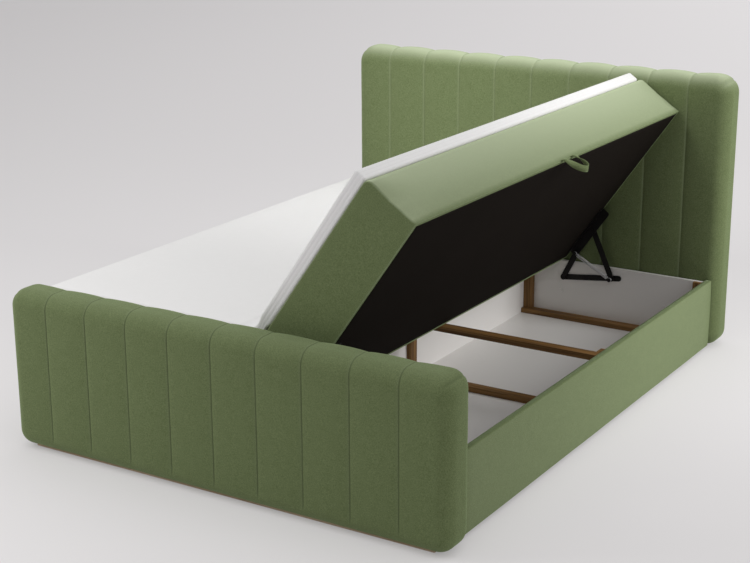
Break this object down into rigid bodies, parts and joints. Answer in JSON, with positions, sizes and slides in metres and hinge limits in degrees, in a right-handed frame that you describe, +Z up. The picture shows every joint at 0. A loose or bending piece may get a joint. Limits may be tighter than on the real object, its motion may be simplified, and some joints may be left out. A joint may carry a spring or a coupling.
{
  "type": "box spring bed",
  "caption": "Upholstered box spring bed with channelled headboard and footboard, a fold-over topper, and sprung mattress halves that lift off storage boxes",
  "frame": {"origin": "on the floor under the middle of the bed", "axes": "+Y from the foot end to the head end, +X to the open half at rest, +Z up"},
  "size_m": [1.67, 2.306, 1.086],
  "materials": {
    "green_fabric": "soft matte woven upholstery, moss green",
    "board_wood": "raw timber and board, hidden",
    "white_board": "smooth white faced board",
    "brown_wood": "stained walnut-brown battens",
    "black_steel": "black powder coat",
    "zinc_steel": "zinc plated",
    "black_plastic": "matte glides",
    "dark_cloth": "near-black dust cloth",
    "foam": "pocket spring core and foam, hidden",
    "topper_cloth": "white knitted topper cover"
  },
  "bodies": {
    "bed_base": {"headboard_cover": "green_fabric", "headboard_core": "board_wood", "footboard_cover": "green_fabric", "footboard_core": "board_wood", "centre_divider": "white_board", "frame_posts": "brown_wood", "floor_battens": "brown_wood", "top_battens": "brown_wood", "floor_bearers": "board_wood", "base_pins": "zinc_steel", "board_bolts": "zinc_steel", "glides": "black_plastic", "right_rail_board": "board_wood", "right_rail_cover": "green_fabric", "right_head_panel": "white_board", "right_foot_panel": "white_board", "right_floor": "white_board", "right_head_base_bar": "black_steel", "right_foot_base_bar": "black_steel", "left_rail_board": "board_wood", "left_rail_cover": "green_fabric", "left_head_panel": "white_board", "left_foot_panel": "white_board", "left_floor": "white_board", "left_head_base_bar": "black_steel", "left_foot_base_bar": "black_steel"},
    "right_lid": {"right_lid_cover": "green_fabric", "right_lid_bottom_cloth": "dark_cloth", "right_lid_frame": "board_wood", "right_lid_spring_core": "foam", "right_lid_foam": "foam", "right_lid_pull_loop": "green_fabric", "right_lid_pins": "zinc_steel", "right_head_lid_bar": "black_steel", "right_foot_lid_bar": "black_steel"},
    "right_inner_arms": {"right_head_inner_arm": "black_steel", "right_foot_inner_arm": "black_steel"},
    "right_outer_arms": {"right_head_outer_arm": "black_steel", "right_foot_outer_arm": "black_steel"},
    "right_lift_springs": {"right_springs": "zinc_steel"},
    "right_topper_fold": {"topper_right_bend": "topper_cloth"},
    "right_topper_pad": {"topper_right": "topper_cloth"},
    "left_lid": {"left_lid_cover": "green_fabric", "left_lid_bottom_cloth": "dark_cloth", "left_lid_frame": "board_wood", "left_lid_spring_core": "foam", "left_lid_foam": "foam", "left_lid_pull_loop": "green_fabric", "left_lid_pins": "zinc_steel", "left_head_lid_bar": "black_steel", "left_foot_lid_bar": "black_steel"},
    "left_inner_arms": {"left_head_inner_arm": "black_steel", "left_foot_inner_arm": "black_steel"},
    "left_outer_arms": {"left_head_outer_arm": "black_steel", "left_foot_outer_arm": "black_steel"},
    "left_lift_springs": {"left_springs": "zinc_steel"},
    "left_topper_fold": {"topper_left_bend": "topper_cloth"},
    "left_topper_pad": {"topper_left": "topper_cloth"}
  },
  "joints": [
    {"name": "right_lift", "type": "hinge", "parent": "bed_base", "child": "right_inner_arms", "pos_m": [0.1819, 0, 0.211], "axis": [0, 1, 0], "range_deg": [-93.19, 0], "stiffness_Nm_per_rad": 25, "springref_deg": 28.65, "deforming": ["right_springs", "topper_right_bend", "topper_right"]},
    {"name": "right_lid_pivot", "type": "hinge", "parent": "right_inner_arms", "child": "right_lid", "pos_m": [0.23883, 0, 0.3249], "axis": [0, 1, 0], "range_deg": [0, 148.29]},
    {"name": "right_outer_arm_pivot", "type": "hinge", "parent": "bed_base", "child": "right_outer_arms", "pos_m": [0.3945, 0, 0.236], "axis": [0, 1, 0], "range_deg": [-58.76, 0]},
    {"name": "right_spring_pivot", "type": "hinge", "parent": "bed_base", "child": "right_lift_springs", "pos_m": [0.3945, 0, 0.236], "axis": [0, 1, 0], "range_deg": [-25.31, 0]},
    {"name": "right_topper_fold_hinge", "type": "hinge", "parent": "bed_base", "child": "right_topper_fold", "pos_m": [0.05877, 0, 0.52187], "axis": [0, 1, 0], "range_deg": [0, 55.1]},
    {"name": "right_topper_pad_slide", "type": "slide", "parent": "right_topper_fold", "child": "right_topper_pad", "axis": [0.5721, 0, 0.8202], "range_m": [0, 0.06476]},
    {"name": "left_lift", "type": "hinge", "parent": "bed_base", "child": "left_inner_arms", "pos_m": [-0.1819, 0, 0.211], "axis": [0, -1, 0], "range_deg": [0, 93.19], "stiffness_Nm_per_rad": 25, "springref_deg": 121.84, "deforming": ["left_springs", "topper_left_bend", "topper_left"]},
    {"name": "left_lid_pivot", "type": "hinge", "parent": "left_inner_arms", "child": "left_lid", "pos_m": [-0.065, 0, 0.2615], "axis": [0, -1, 0], "range_deg": [-148.29, 0]},
    {"name": "left_outer_arm_pivot", "type": "hinge", "parent": "bed_base", "child": "left_outer_arms", "pos_m": [-0.3945, 0, 0.236], "axis": [0, -1, 0], "range_deg": [0, 58.76]},
    {"name": "left_spring_pivot", "type": "hinge", "parent": "bed_base", "child": "left_lift_springs", "pos_m": [-0.3945, 0, 0.236], "axis": [0, -1, 0], "range_deg": [0, 25.31]},
    {"name": "left_topper_fold_hinge", "type": "hinge", "parent": "bed_base", "child": "left_topper_fold", "pos_m": [-0.05877, 0, 0.52187], "axis": [0, -1, 0], "range_deg": [-55.1, 0]},
    {"name": "left_topper_pad_slide", "type": "slide", "parent": "left_topper_fold", "child": "left_topper_pad", "axis": [-1, 0, 0], "range_m": [-0.06476, 0]}
  ],
  "couplings": [
    {"joint": "right_lid_pivot", "follows": "right_lift", "ratio": -1.5912},
    {"joint": "right_outer_arm_pivot", "follows": "right_lift", "ratio": 0.63052},
    {"joint": "right_spring_pivot", "follows": "right_lift", "ratio": 0.27155},
    {"joint": "right_topper_fold_hinge", "follows": "right_lift", "ratio": -0.59125},
    {"joint": "right_topper_pad_slide", "follows": "right_lift", "m_per_rad": -0.039807},
    {"joint": "left_lid_pivot", "follows": "left_lift", "ratio": -1.5912},
    {"joint": "left_outer_arm_pivot", "follows": "left_lift", "ratio": 0.63052},
    {"joint": "left_spring_pivot", "follows": "left_lift", "ratio": 0.27155},
    {"joint": "left_topper_fold_hinge", "follows": "left_lift", "ratio": -0.59125},
    {"joint": "left_topper_pad_slide", "follows": "left_lift", "m_per_rad": -0.039807}
  ]
}
